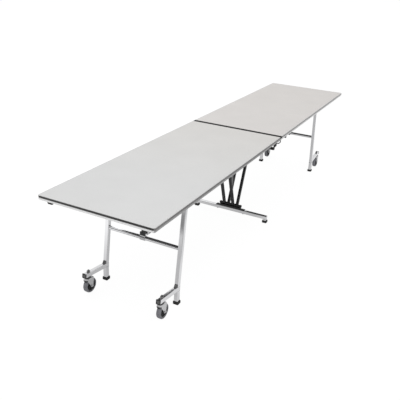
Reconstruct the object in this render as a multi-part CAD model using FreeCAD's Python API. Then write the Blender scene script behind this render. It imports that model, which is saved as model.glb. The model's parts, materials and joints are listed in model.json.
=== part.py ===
import FreeCAD, Part
import math
import os

# Mobile folding table with two half tops that meet at a centre seam.
# Frame: X along the length, Y across, +Z up, origin on the floor under the
# middle of the seam. The near half is at -X. The far half is the near half
# turned half a turn about the vertical through the origin.
# The centre hinge rises as the table folds, the half tops turn face out, and
# the unit then rolls on the four casters at its ends.

os.makedirs("parts", exist_ok=True)

Vector = FreeCAD.Vector

# Driving dimensions, in millimetres and degrees.
# Half tops
table_length = 3658.0
table_width = 762.0
table_height = 749.0
seam_gap = 3.0
board_thickness = 25.8
laminate_thickness = 1.2
band_width = 6.0
seam_band_width = 4.5
band_top_round = 1.2
band_bottom_round = 5.0
tongue_thickness = 2.4
tongue_depth = 8.0
plan_corner_radius = 15.0

# Fold
fold_angle = 83.0
pivot_drop = 24.0
leg_pivot_inset = 523.0
hinge_axis_x = 70.0
link_drop = 314.0

# Square tube of the leg frames and of the centre base
tube_size = 28.0
tube_wall = 1.5
tube_corner = 3.5
leg_y = 270.0
leg_top_reach = 12.0
arm_height = 111.0
arm_outer_reach = 221.0
arm_inner_reach = 14.0
crossbar_height = 374.0
crossbar_diameter = 27.0

# Rubber and plastic on the tubes
foot_cap_size = 38.0
foot_cap_height = 20.0
foot_cap_floor = 6.0
foot_cap_corner = 5.0
plug_size = 31.0
plug_head = 5.0
plug_insert = 14.0
plug_recess = 2.5
plug_rim = 4.0
leg_bumper_height = 17.0
leg_bumper_width = 22.0
leg_bumper_thin = 4.0
leg_bumper_thick = 13.0
leg_bumper_round = 1.5
corner_bumper_inset = 24.0
corner_bumper_y = 309.0
seam_bumper_positions = (142.0, 240.0)
seam_bumper_edge_gap = 2.0
bumper_length = 26.0
bumper_width = 30.0
bumper_height = 20.0
bumper_taper = 6.0

# Steel angles under the half tops
rail_y = 236.0
rail_width = 14.0
rail_height = 20.0
rail_thickness = 2.0
rail_leg_gap = 70.0
rail_hinge_gap = 60.0

# Brackets and pins
plate_thickness = 3.0
pin_diameter = 10.0
pin_head_diameter = 16.0
pin_head_height = 3.0
running_clearance = 0.08
leg_side_clearance = 0.8
bracket_half_length = 34.0
bracket_flange = 16.0
ear_radius = 13.0
ear_shoulder = 4.0
hinge_plate_positions = (150.0, 300.0)
hinge_plate_thickness = 4.0
hinge_side_clearance = 0.5
hinge_bracket_half_length = 26.0
hinge_bracket_flange = 14.0

# Centre hinge beam, release lever and pull loop
beam_size = 20.0
beam_wall = 2.0
beam_corner = 2.0
beam_end_left = 325.0
beam_end_right = 340.0
lever_outer_y = 333.0
lever_inner_y = 191.0
lever_tab_thickness = 4.0
lever_tab_gap = 0.5
lever_pivot_drop = 12.0
lever_drop = 34.0
lever_cheek_radius = 11.0
lever_cheek_thickness = 4.0
lever_grip_diameter = 22.0
lever_pin_diameter = 6.0
lever_pin_end = 1.0
loop_end_y = 380.0
loop_width = 50.0
loop_tilt = 30.0
loop_rise = 8.5
loop_wire = 7.0
loop_plate_thickness = 3.0
loop_plate_width = 38.0
loop_plate_drop = 36.0
loop_plate_round = 3.0

# Centre post and fold links
post_width = 14.0
post_thickness = 8.4
post_bottom = 135.0
cross_plate_height = 20.0
link_height = 20.0
link_wall = 2.0
link_side_clearance = 0.3
link_slot_reach = 17.0
link_pin_diameter = 8.0
link_pin_head_diameter = 14.0
link_pin_head_height = 3.2
lug_sleeve_wall = 4.0
lug_sleeve_width = 36.0
lug_clamp_width = 36.0
lug_clamp_height = 24.0
lug_clamp_thickness = 12.0

# Centre base
base_tube_bottom = 30.0
base_half_length = 330.0
base_plate_half_length = 130.0
base_plate_width = 34.0
base_plate_thickness = 4.0
base_pivot_rise = 24.0
base_bar_diameter = 12.0
base_bar_half_length = 98.0
base_sleeve_diameter = 22.0
base_sleeve_gap = 0.5
base_ear_positions = (41.5, 89.0)
base_ear_thickness = 4.0
base_flange_thickness = 3.0
base_flange_height = 14.0
base_bolt_position = 118.0
base_bolt_diameter = 8.0
base_bolt_head = 14.0
base_bolt_head_height = 6.0

# Folding rods between the base and the half tops
rod_size = 21.0
rod_wall = 2.0
rod_corner = 1.5
rod_outer_y = 58.0
rod_inner_y = 21.0
rod_top_x = 222.0
rod_stub_length = 2.0
rod_stub_clearance = 0.3
rod_bracket_half_length = 24.0
rod_bracket_flange = 12.0

# Casters
wheel_radius = 50.0
wheel_width = 31.0
wheel_lift = 1.0
tread_thickness = 12.0
tread_round = 5.0
hub_face_recess = 3.0
hub_boss_radius = 12.0
hub_boss_gap = 0.3
caster_stem_reach = 184.4
caster_trail = 19.6
stem_diameter = 12.0
stem_nut_width = 19.0
stem_nut_height = 10.0
stem_end = 6.0
race_height = 8.0
race_radius = 18.0
race_gap = 0.3
fork_sheet = 2.5
fork_inner_gap = 2.0
fork_crown_back = 33.0
fork_crown_front = 33.0
fork_crown_round = 9.0
fork_lip_depth = 16.0
fork_lip_height = 12.0
fork_foot_radius = 11.0
fork_tab_width = 11.0
fork_tab_height = 24.0
fork_tab_thickness = 5.0
fork_tab_foot = 7.0
stem_head_radius = 10.0
stem_head_height = 3.0
axle_diameter = 8.0
axle_head_width = 13.0
axle_head_height = 5.0

# How near two values must be to count as the same
match_distance = 0.001

# Worked out from the values above
lean = 90.0 - fold_angle
lean_sine = math.sin(math.radians(lean))
lean_cosine = math.cos(math.radians(lean))
half_tube = tube_size / 2
half_length = table_length / 2
half_width = table_width / 2
leg_pivot_x = half_length - leg_pivot_inset
corner_bumper_x = half_length - corner_bumper_inset
underside_z = table_height - laminate_thickness - board_thickness
pivot_z = underside_z - pivot_drop
link_z = pivot_z - link_drop
foot_x = leg_pivot_x + (pivot_z - arm_height) * math.tan(math.radians(lean))
leg_run = (pivot_z - arm_height) / lean_cosine
crossbar_run = (crossbar_height - arm_height) / lean_cosine
crossbar_x = foot_x - crossbar_run * lean_sine
arm_under = -half_tube
axle_x = caster_trail - caster_stem_reach
axle_rise = wheel_radius + wheel_lift - arm_height + axle_x * lean_sine
axle_local_z = axle_rise / lean_cosine
crown_z = arm_under - race_height - race_gap
fork_half_inner = wheel_width / 2 + fork_inner_gap
fork_half_outer = fork_half_inner + fork_sheet
beam_under_z = pivot_z - beam_size / 2
lever_pivot_z = beam_under_z - lever_pivot_drop
link_inner_half = post_thickness / 2 + link_side_clearance
link_half_width = link_inner_half + link_wall
base_tube_z = base_tube_bottom + half_tube
base_tube_top = base_tube_bottom + tube_size
base_foot_y = base_half_length - half_tube
base_plate_top = base_tube_top + base_plate_thickness
base_pivot_z = base_plate_top + base_pivot_rise
loop_z = pivot_z + loop_rise
loop_half_rise = (loop_width - loop_wire) / 2 * math.sin(math.radians(loop_tilt))
loop_plate_top = loop_z + loop_half_rise + loop_wire / 2
rod_angle = math.degrees(math.atan2(rod_top_x, pivot_z - base_pivot_z))
rod_length = math.hypot(rod_top_x, pivot_z - base_pivot_z)
rod_near_places = (rod_outer_y, -rod_inner_y)


def block(low, high):
    """Box between two opposite corners."""
    size = Vector(*high).sub(Vector(*low))
    return Part.makeBox(size.x, size.y, size.z, Vector(*low))


def round_y(radius, y_from, y_to, x=0.0, z=0.0):
    """Cylinder along Y."""
    return Part.makeCylinder(radius, y_to - y_from, Vector(x, y_from, z), Vector(0, 1, 0))


def round_z(radius, z_from, z_to, x=0.0, y=0.0):
    """Cylinder along Z."""
    return Part.makeCylinder(radius, z_to - z_from, Vector(x, y, z_from), Vector(0, 0, 1))


def runs_along(edge, axis):
    """True for a straight edge parallel to an axis."""
    if not isinstance(edge.Curve, Part.Line):
        return False
    return abs(edge.Curve.Direction.dot(axis)) > 1 - match_distance


def square_bar(size, z_from, z_to, corner):
    """Square bar along Z with rounded long edges."""
    half = size / 2
    bar = block((-half, -half, z_from), (half, half, z_to))
    uprights = [edge for edge in bar.Edges if runs_along(edge, Vector(0, 0, 1))]
    return bar.makeFillet(corner, uprights)


def square_tube(size, wall, z_from, z_to, corner):
    """Square tube along Z."""
    inner = square_bar(size - 2 * wall, z_from, z_to, corner - wall / 2)
    return square_bar(size, z_from, z_to, corner).cut(inner)


def hexagon(width, z_from, z_to, x=0.0, y=0.0):
    """Hexagonal nut or head along Z, by its width across flats."""
    radius = width / math.sqrt(3)
    points = []
    for corner in range(7):
        angle = math.radians(60 * corner)
        points.append(Vector(x + radius * math.cos(angle), y + radius * math.sin(angle), z_from))
    return Part.Face(Part.makePolygon(points)).extrude(Vector(0, 0, z_to - z_from))


def plate_y(points, y_from, y_to):
    """Flat plate across Y from an outline of (x, z) points."""
    outline = [Vector(x, y_from, z) for x, z in points]
    outline.append(outline[0])
    return Part.Face(Part.makePolygon(outline)).extrude(Vector(0, y_to - y_from, 0))


def moved(shape, x=0.0, y=0.0, z=0.0):
    """Copy of a shape, moved."""
    copy = shape.copy()
    copy.translate(Vector(x, y, z))
    return copy


def turned(shape, axis, angle):
    """Copy of a shape, turned about an axis through the origin."""
    copy = shape.copy()
    copy.rotate(Vector(0, 0, 0), axis, angle)
    return copy


def mirrored_y(shape):
    """Copy of a shape on the other side of the XZ plane."""
    return shape.mirror(Vector(0, 0, 0), Vector(0, 1, 0))


def far(shapes):
    """The far twin of near pieces: half a turn about the vertical."""
    return [turned(shape, Vector(0, 0, 1), 180) for shape in shapes]


def leaned(shape):
    """Take a piece from the leaning frame of the near legs to the table's frame.

    The leaning frame has its origin where the leg meets the arm, its Z up the
    leg and its X along the arm towards the middle of the table.
    """
    return moved(turned(shape, Vector(0, 1, 0), lean), -foot_x, 0, arm_height)


def hung_ear(pin_x, pin_z, top_z, half_top, radius, y_from, y_to):
    """Tapered ear that hangs from a plate and rounds off about its pin."""
    outline = [
        (pin_x - half_top, top_z),
        (pin_x + half_top, top_z),
        (pin_x + radius, pin_z),
        (pin_x - radius, pin_z),
    ]
    return plate_y(outline, y_from, y_to).fuse(round_y(radius, y_from, y_to, pin_x, pin_z)).removeSplitter()


def headed_pin(radius, head_radius, head_height, y_from, y_to, x, z):
    """Pin along Y with a head outside each end of its grip."""
    pin = round_y(radius, y_from - head_height, y_to + head_height, x, z)
    pin = pin.fuse(round_y(head_radius, y_from - head_height, y_from, x, z))
    return pin.fuse(round_y(head_radius, y_to, y_to + head_height, x, z)).removeSplitter()


def write_node(name, solids):
    """Write the solids of one node."""
    Part.makeCompound(solids).exportStep("parts/" + name + ".step")


# Half tops

def top_plan(inset, seam_inset, corner, z_from, z_to):
    """Plan of the near half top, set in from its edges."""
    low = (-half_length + inset, -half_width + inset, z_from)
    high = (-seam_gap / 2 - seam_inset, half_width - inset, z_to)
    plan = block(low, high)
    corners = []
    for edge in plan.Edges:
        if runs_along(edge, Vector(0, 0, 1)) and edge.CenterOfMass.x < -half_length / 2:
            corners.append(edge)
    return plan.makeFillet(corner, corners)


def band_tongue():
    """Tongue of the edge moulding, which sits in a groove of the board."""
    middle = underside_z + board_thickness / 2
    low = middle - tongue_thickness / 2
    high = middle + tongue_thickness / 2
    corner = plan_corner_radius - band_width
    ring = top_plan(band_width, seam_band_width, corner, low, high)
    core = top_plan(band_width + tongue_depth, seam_band_width + tongue_depth, corner / 2, low, high)
    return ring.cut(core)


def top_board():
    board_top = underside_z + board_thickness
    corner = plan_corner_radius - band_width
    board = top_plan(band_width, seam_band_width, corner, underside_z, board_top)
    return [board.cut(band_tongue())]


def top_laminate():
    board_top = underside_z + board_thickness
    corner = plan_corner_radius - band_width
    return [top_plan(band_width, seam_band_width, corner, board_top, table_height)]


def open_side_edges(plan, z):
    """Level edges of a half top at one height, without the one at the seam."""
    edges = []
    for edge in plan.Edges:
        box = edge.BoundBox
        level = abs(box.ZMax - z) < match_distance and abs(box.ZMin - z) < match_distance
        at_seam = abs(box.XMin + seam_gap / 2) < match_distance
        if level and not at_seam:
            edges.append(edge)
    return edges


def edge_band():
    """Moulding round the half top: upright above, rounded in below on the open sides."""
    outer = top_plan(0, 0, plan_corner_radius, underside_z, table_height)
    outer = outer.makeFillet(band_bottom_round, open_side_edges(outer, underside_z))
    outer = outer.makeFillet(band_top_round, open_side_edges(outer, table_height))
    inner_corner = plan_corner_radius - band_width
    inner = top_plan(band_width, seam_band_width, inner_corner, underside_z, table_height)
    return [outer.cut(inner).fuse(band_tongue()).removeSplitter()]


def stiffener_rails():
    """Two angles screwed along the underside between the legs and the hinge."""
    x_from = -leg_pivot_x + rail_leg_gap
    x_to = -hinge_axis_x - rail_hinge_gap
    under = underside_z - rail_thickness
    flange = block((x_from, rail_y, under), (x_to, rail_y + rail_width, underside_z))
    web_low = (x_from, rail_y, underside_z - rail_height)
    web = block(web_low, (x_to, rail_y + rail_thickness, underside_z))
    rail = flange.fuse(web).removeSplitter()
    return [rail, mirrored_y(rail)]


def pin_bracket(x, y, grip_half, side_gap, half_plate, flange):
    """Channel under the half top with two ears and a pin through them."""
    inner = grip_half + side_gap
    outer = inner + plate_thickness
    plate_low = (x - half_plate, y - outer - flange, underside_z - plate_thickness)
    channel = block(plate_low, (x + half_plate, y + outer + flange, underside_z))
    for y_from in (y - outer, y + inner):
        y_to = y_from + plate_thickness
        ear = hung_ear(x, pivot_z, underside_z, half_plate - ear_shoulder, ear_radius, y_from, y_to)
        channel = channel.fuse(ear)
    hole = round_y(pin_diameter / 2, y - outer, y + outer, x, pivot_z)
    channel = channel.removeSplitter().cut(hole)
    head_radius = pin_head_diameter / 2
    pin = headed_pin(pin_diameter / 2, head_radius, pin_head_height, y - outer, y + outer, x, pivot_z)
    return [channel, pin]


def leg_brackets():
    pieces = []
    for y in (leg_y, -leg_y):
        pieces += pin_bracket(-leg_pivot_x, y, half_tube, leg_side_clearance,
                              bracket_half_length, bracket_flange)
    return pieces


def hinge_places():
    return [side * place for side in (1, -1) for place in hinge_plate_positions]


def hinge_brackets():
    grip = hinge_plate_thickness / 2
    pieces = []
    for y in hinge_places():
        pieces += pin_bracket(-hinge_axis_x, y, grip, hinge_side_clearance,
                              hinge_bracket_half_length, hinge_bracket_flange)
    return pieces


def rod_brackets():
    """Open forks on one plate that take the tops of the near rods."""
    inner = rod_size / 2 + rod_stub_length + rod_stub_clearance
    outer = inner + plate_thickness
    y_low = -rod_inner_y - outer - rod_bracket_flange
    y_high = rod_outer_y + outer + rod_bracket_flange
    plate_low = (-rod_top_x - rod_bracket_half_length, y_low, underside_z - plate_thickness)
    bracket = block(plate_low, (-rod_top_x + rod_bracket_half_length, y_high, underside_z))
    for y in rod_near_places:
        for y_from in (y - outer, y + inner):
            y_to = y_from + plate_thickness
            half_top = rod_bracket_half_length - ear_shoulder
            ear = hung_ear(-rod_top_x, pivot_z, underside_z, half_top, ear_radius, y_from, y_to)
            bracket = bracket.fuse(ear)
    return [bracket.removeSplitter()]


def bumper(x, y):
    """Tapered rubber block under the half top."""
    half_top = bumper_length / 2
    half_foot = half_top - bumper_taper
    low = underside_z - bumper_height
    outline = [
        (x - half_top, underside_z),
        (x + half_top, underside_z),
        (x + half_foot, low),
        (x - half_foot, low),
    ]
    y_from = y - bumper_width / 2
    return plate_y(outline, y_from, y_from + bumper_width)


def top_bumpers():
    """Two bumpers at the outer corners and two by the seam on the left side."""
    left_y = half_width - band_width - seam_bumper_edge_gap - bumper_width / 2
    places = [(corner_bumper_x, corner_bumper_y), (corner_bumper_x, -corner_bumper_y)]
    places += [(x, left_y) for x in seam_bumper_positions]
    return [bumper(-x, y) for x, y in places]


# Leg frames, in the leaning frame unless a function says otherwise

def leg(y):
    """Leg tube above the arm and upright foot stub below it."""
    tube = square_tube(tube_size, tube_wall, half_tube, leg_run + leg_top_reach, tube_corner)
    tube = moved(tube, 0, y, 0)
    hole_radius = pin_diameter / 2 + running_clearance
    tube = tube.cut(round_y(hole_radius, y - tube_size, y + tube_size, 0, leg_run))
    stub = square_tube(tube_size, tube_wall, foot_cap_floor, arm_height, tube_corner)
    stub = moved(stub, -foot_x, y, 0)
    above = leaned(block((-tube_size, y - tube_size, -half_tube), (tube_size, y + tube_size, tube_size)))
    return [leaned(tube), stub.cut(above)]


def crossbar():
    half_span = leg_y - half_tube
    outer = round_y(crossbar_diameter / 2, -half_span, half_span, 0, crossbar_run)
    inner = round_y(crossbar_diameter / 2 - tube_wall, -half_span, half_span, 0, crossbar_run)
    return [leaned(outer.cut(inner))]


def arms():
    """Caster arms, open at their outer ends and closed under the legs."""
    pieces = []
    for y in (leg_y, -leg_y):
        tube = square_bar(tube_size, -arm_outer_reach, arm_inner_reach, tube_corner)
        bore_corner = tube_corner - tube_wall / 2
        bore_end = arm_inner_reach - tube_wall
        tube = tube.cut(square_bar(tube_size - 2 * tube_wall, -arm_outer_reach, bore_end, bore_corner))
        tube = moved(turned(tube, Vector(0, 1, 0), 90), 0, y, 0)
        stem_hole = round_z(stem_diameter / 2, -tube_size, tube_size, -caster_stem_reach, y)
        pieces.append(leaned(tube.cut(stem_hole)))
    return pieces


def tube_plug():
    """Plug with its outer face at z = 0 and its insert below, both square."""
    head = square_bar(plug_size, -plug_head, 0, tube_corner)
    recess = square_bar(tube_size - 2 * plug_rim, -plug_recess, 0, tube_corner / 2)
    insert_size = tube_size - 2 * tube_wall
    insert = square_bar(insert_size, -plug_head - plug_insert, -plug_head, tube_corner - tube_wall / 2)
    return head.fuse(insert).removeSplitter().cut(recess)


def tube_plugs():
    pieces = []
    for y in (leg_y, -leg_y):
        plug = moved(turned(tube_plug(), Vector(0, 1, 0), -90), -arm_outer_reach - plug_head, y, 0)
        pieces.append(leaned(plug))
    return pieces


def foot_cap(x, y):
    """Square cap that a foot stub stands in, on the floor."""
    cap = square_bar(foot_cap_size, 0, foot_cap_height, foot_cap_corner)
    socket = square_bar(tube_size, foot_cap_floor, foot_cap_height, tube_corner)
    return moved(cap.cut(socket), x, y, 0)


def foot_caps():
    return [foot_cap(-foot_x, y) for y in (leg_y, -leg_y)]


def leg_bumpers():
    """Rubber wedges in the corners between the legs' outer faces and the arms."""
    outline = [
        (-half_tube, half_tube),
        (-half_tube, half_tube + leg_bumper_height),
        (-half_tube - leg_bumper_thin, half_tube + leg_bumper_height),
        (-half_tube - leg_bumper_thick, half_tube),
    ]
    pieces = []
    for y in (leg_y, -leg_y):
        wedge = plate_y(outline, y - leg_bumper_width / 2, y + leg_bumper_width / 2)
        outer_edges = [edge for edge in wedge.Edges if edge.BoundBox.XMax < -half_tube - match_distance]
        long_edges = [edge for edge in outer_edges if not runs_along(edge, Vector(0, 1, 0))]
        pieces.append(leaned(wedge.makeFillet(leg_bumper_round, long_edges)))
    return pieces


def caster_stems():
    """Studs through the arms, with a nut above and a head under the fork."""
    pieces = []
    head_top = crown_z - fork_sheet - race_gap
    for y in (leg_y, -leg_y):
        x = -caster_stem_reach
        top = half_tube + stem_nut_height + stem_end
        stud = round_z(stem_diameter / 2, head_top - stem_head_height, top, x, y)
        head = round_z(stem_head_radius, head_top - stem_head_height, head_top, x, y)
        nut = hexagon(stem_nut_width, half_tube, half_tube + stem_nut_height, x, y)
        nut = nut.cut(round_z(stem_diameter / 2, half_tube, half_tube + stem_nut_height, x, y))
        pieces += [leaned(stud.fuse(head).removeSplitter()), leaned(nut)]
    return pieces


def swivel_races():
    """Dark bearing covers between the arms and the forks."""
    pieces = []
    low = arm_under - race_height
    for y in (leg_y, -leg_y):
        x = -caster_stem_reach
        race = round_z(race_radius, low, arm_under, x, y)
        pieces.append(leaned(race.cut(round_z(stem_diameter / 2, low, arm_under, x, y))))
    return pieces


def link_lug():
    """Sleeve clamped on the crossbar, with a plate that carries the fold link."""
    sleeve_radius = crossbar_diameter / 2 + lug_sleeve_wall
    half_sleeve = lug_sleeve_width / 2
    half_plate = post_thickness / 2
    sleeve = round_y(sleeve_radius, -half_sleeve, half_sleeve, -crossbar_x, crossbar_height)
    half_height = cross_plate_height / 2
    outline = [
        (-leg_pivot_x, link_z + half_height),
        (-leg_pivot_x, link_z - half_height),
        (-crossbar_x, crossbar_height - sleeve_radius / 2),
        (-crossbar_x, crossbar_height + sleeve_radius),
    ]
    plate = plate_y(outline, -half_plate, half_plate)
    nose = round_y(half_height, -half_plate, half_plate, -leg_pivot_x, link_z)
    clamp_x = -crossbar_x - lug_clamp_thickness / 2
    clamp_low = (clamp_x - lug_clamp_thickness / 2, -lug_clamp_width / 2, crossbar_height)
    clamp_top = crossbar_height + sleeve_radius + lug_clamp_height
    clamp = block(clamp_low, (clamp_x + lug_clamp_thickness / 2, lug_clamp_width / 2, clamp_top))
    lug = sleeve.fuse(plate).fuse(nose).fuse(clamp).removeSplitter()
    bar_hole = round_y(crossbar_diameter / 2, -half_sleeve, half_sleeve, -crossbar_x, crossbar_height)
    pin_radius = link_pin_diameter / 2 + running_clearance
    pin_hole = round_y(pin_radius, -half_plate, half_plate, -leg_pivot_x, link_z)
    return [lug.cut(bar_hole).cut(pin_hole)]


# Casters, in the leaning frame

def folded_channel(x_from, x_to, half_outside, low, high, corner):
    """Block along X with both upper long edges rounded."""
    channel = block((x_from, -half_outside, low), (x_to, half_outside, high))
    tops = []
    for edge in channel.Edges:
        if runs_along(edge, Vector(1, 0, 0)) and edge.CenterOfMass.z > high - match_distance:
            tops.append(edge)
    return channel.makeFillet(corner, tops)


def caster_fork(y):
    """Folded sheet fork with a rounded crown, its axle bolt and a rubber tab at the crown's tip."""
    low = axle_local_z - fork_foot_radius
    x_back = -caster_stem_reach - fork_crown_back
    x_front = -caster_stem_reach + fork_crown_front
    inner_corner = fork_crown_round - fork_sheet
    outer = folded_channel(x_back, x_front, fork_half_outer, low, crown_z, fork_crown_round)
    inner = folded_channel(x_back, x_front, fork_half_inner, low, crown_z - fork_sheet, inner_corner)
    side = plate_y([
        (x_back, crown_z - fork_crown_round),
        (x_back, crown_z),
        (x_front, crown_z),
        (x_front, crown_z - fork_crown_round),
        (axle_x + fork_foot_radius, axle_local_z),
        (axle_x - fork_foot_radius, axle_local_z),
    ], -fork_half_outer, fork_half_outer)
    side = side.fuse(round_y(fork_foot_radius, -fork_half_outer, fork_half_outer, axle_x, axle_local_z))
    fork = outer.cut(inner).common(side).common(crown_plan(x_back, x_front, low))
    fork = fork.fuse(crown_lip(x_back, x_front))
    stem_hole = stem_diameter / 2 + running_clearance
    fork = fork.cut(round_z(stem_hole, low, crown_z, -caster_stem_reach, 0))
    fork = fork.cut(round_y(axle_diameter / 2, -fork_half_outer, fork_half_outer, axle_x, axle_local_z))
    pieces = [fork.removeSplitter(), axle_bolt(), fork_tab(x_back)]
    return [leaned(moved(piece, 0, y, 0)) for piece in pieces]


def crown_plan(x_back, x_front, low, inset=0.0):
    """Plan of the fork: square at the back, rounded at the crown's tip."""
    radius = fork_half_outer - inset
    tip = round_z(radius, low, crown_z, x_back + fork_half_outer, 0)
    return tip.fuse(block((x_back + fork_half_outer, -radius, low), (x_front, radius, crown_z)))


def crown_lip(x_back, x_front):
    """Turned-down lip round the tip of the crown."""
    low = crown_z - fork_lip_height
    wall = crown_plan(x_back, x_front, low).cut(crown_plan(x_back, x_front, low, fork_sheet))
    high = (x_back + fork_lip_depth, fork_half_outer, crown_z - fork_sheet)
    return wall.common(block((x_back, -fork_half_outer, low), high))


def fork_tab(x_back):
    """Tapered rubber tab that hangs from the underside of the crown's tip."""
    top = crown_z - fork_sheet
    x_from = x_back + fork_half_outer - math.sqrt(fork_half_inner ** 2 - (fork_tab_width / 2) ** 2)
    section = []
    for half, z in ((fork_tab_width / 2, top), (fork_tab_foot / 2, top - fork_tab_height)):
        section += [Vector(x_from, -half, z), Vector(x_from, half, z)]
    outline = [section[0], section[1], section[3], section[2], section[0]]
    return Part.Face(Part.makePolygon(outline)).extrude(Vector(fork_tab_thickness, 0, 0))


def axle_bolt():
    end = fork_half_outer + axle_head_height
    shank = round_z(axle_diameter / 2, -end, end)
    bolt = shank.fuse(hexagon(axle_head_width, -end, -fork_half_outer))
    bolt = bolt.fuse(hexagon(axle_head_width, fork_half_outer, end)).removeSplitter()
    return moved(turned(bolt, Vector(1, 0, 0), 90), axle_x, 0, axle_local_z)


def wheel_tread(y):
    half = wheel_width / 2
    tyre = round_y(wheel_radius, -half, half)
    rims = [edge for edge in tyre.Edges if isinstance(edge.Curve, Part.Circle)]
    tyre = tyre.makeFillet(tread_round, rims)
    tyre = tyre.cut(round_y(wheel_radius - tread_thickness, -half, half))
    return [leaned(moved(tyre, axle_x, y, axle_local_z))]


def wheel_hub(y):
    """Wheel disc with recessed faces and a boss that runs on the axle."""
    half = wheel_width / 2
    hub_radius = wheel_radius - tread_thickness
    hub = round_y(hub_radius, -half + hub_face_recess, half - hub_face_recess)
    half_boss = fork_half_inner - hub_boss_gap
    hub = hub.fuse(round_y(hub_boss_radius, -half_boss, half_boss)).removeSplitter()
    hub = hub.cut(round_y(axle_diameter / 2 + running_clearance, -half_boss, half_boss))
    return [leaned(moved(hub, axle_x, y, axle_local_z))]


# Centre hinge

def hinge_spine():
    """Beam across the table with four double-ended hinge plates and lever tabs."""
    beam = square_bar(beam_size, -beam_end_right, beam_end_left, beam_corner)
    bore = square_bar(beam_size - 2 * beam_wall, -beam_end_right, beam_end_left, beam_corner / 2)
    plates = []
    for y in hinge_places():
        y_from = y - hinge_plate_thickness / 2
        y_to = y + hinge_plate_thickness / 2
        low = (-hinge_axis_x, y_from, pivot_z - ear_radius)
        plate = block(low, (hinge_axis_x, y_to, pivot_z + ear_radius))
        for x in (-hinge_axis_x, hinge_axis_x):
            plate = plate.fuse(round_y(ear_radius, y_from, y_to, x, pivot_z))
        for x in (-hinge_axis_x, hinge_axis_x):
            plate = plate.cut(round_y(pin_diameter / 2 + running_clearance, y_from, y_to, x, pivot_z))
        plates.append(plate.removeSplitter())
    spine = moved(turned(beam, Vector(1, 0, 0), -90), 0, 0, pivot_z)
    hollow = moved(turned(bore, Vector(1, 0, 0), -90), 0, 0, pivot_z)
    for plate in plates:
        spine = spine.fuse(plate)
    for y_from in lever_tab_places():
        spine = spine.fuse(lever_tab(y_from))
    return [spine.cut(hollow).removeSplitter()]


def lever_tab_places():
    """Low Y of the two tabs that carry the release lever, outside its cheeks."""
    outer = -lever_outer_y - lever_tab_gap - lever_tab_thickness
    inner = -lever_inner_y + lever_tab_gap
    return (outer, inner)


def lever_tab(y_from):
    y_to = y_from + lever_tab_thickness
    half_top = beam_size / 2
    tab = hung_ear(0, lever_pivot_z, beam_under_z, half_top, lever_cheek_radius, y_from, y_to)
    return tab.cut(round_y(lever_pin_diameter / 2 + running_clearance, y_from, y_to, 0, lever_pivot_z))


def release_lever():
    """Swinging grip bar with a cheek and a pin at each end."""
    grip_z = lever_pivot_z - lever_drop
    lever = round_y(lever_grip_diameter / 2, -lever_outer_y, -lever_inner_y, 0, grip_z)
    cheek_places = (-lever_outer_y, -lever_inner_y - lever_cheek_thickness)
    for y_from in cheek_places:
        y_to = y_from + lever_cheek_thickness
        low = (-lever_cheek_radius, y_from, grip_z)
        lever = lever.fuse(block(low, (lever_cheek_radius, y_to, lever_pivot_z)))
        for z in (grip_z, lever_pivot_z):
            lever = lever.fuse(round_y(lever_cheek_radius, y_from, y_to, 0, z))
    outer_tab, inner_tab = lever_tab_places()
    pin_radius = lever_pin_diameter / 2
    lever = lever.fuse(round_y(pin_radius, outer_tab - lever_pin_end, -lever_outer_y, 0, lever_pivot_z))
    inner_end = inner_tab + lever_tab_thickness + lever_pin_end
    lever = lever.fuse(round_y(pin_radius, -lever_inner_y, inner_end, 0, lever_pivot_z))
    return [lever.removeSplitter()]


def pull_loop():
    """Tilted wire loop on a plate that closes the end of the hinge beam."""
    radius = (loop_width - loop_wire) / 2
    start_y = -beam_end_right - loop_plate_thickness / 2
    bend_y = -loop_end_y + loop_wire / 2 + radius
    start = Vector(radius, start_y, 0)
    first_bend = Vector(radius, bend_y, 0)
    last_bend = Vector(-radius, bend_y, 0)
    path = Part.Wire([
        Part.LineSegment(start, first_bend).toShape(),
        Part.Arc(first_bend, Vector(0, bend_y - radius, 0), last_bend).toShape(),
        Part.LineSegment(last_bend, Vector(-radius, start_y, 0)).toShape(),
    ])
    section = Part.Wire(Part.makeCircle(loop_wire / 2, start, Vector(0, 1, 0)))
    wire = path.makePipeShell([section], True, True)
    wire = moved(turned(wire, Vector(0, 1, 0), -loop_tilt), 0, 0, loop_z)
    half_plate = loop_plate_width / 2
    plate_low = (-half_plate, -beam_end_right - loop_plate_thickness, pivot_z - loop_plate_drop)
    plate = block(plate_low, (half_plate, -beam_end_right, loop_plate_top))
    corners = [edge for edge in plate.Edges if runs_along(edge, Vector(0, 1, 0))]
    return [plate.makeFillet(loop_plate_round, corners).fuse(wire).removeSplitter()]


def centre_post():
    """Flat post that hangs from the beam, with a cross plate for both links."""
    half = post_thickness / 2
    post = block((-post_width / 2, -half, post_bottom), (post_width / 2, half, beam_under_z))
    half_height = cross_plate_height / 2
    cross = block((-hinge_axis_x, -half, link_z - half_height), (hinge_axis_x, half, link_z + half_height))
    post = post.fuse(cross)
    for x in (-hinge_axis_x, hinge_axis_x):
        post = post.fuse(round_y(half_height, -half, half, x, link_z))
    for x in (-hinge_axis_x, hinge_axis_x):
        post = post.cut(round_y(link_pin_diameter / 2 + running_clearance, -half, half, x, link_z))
    return [post.removeSplitter()]


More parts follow.
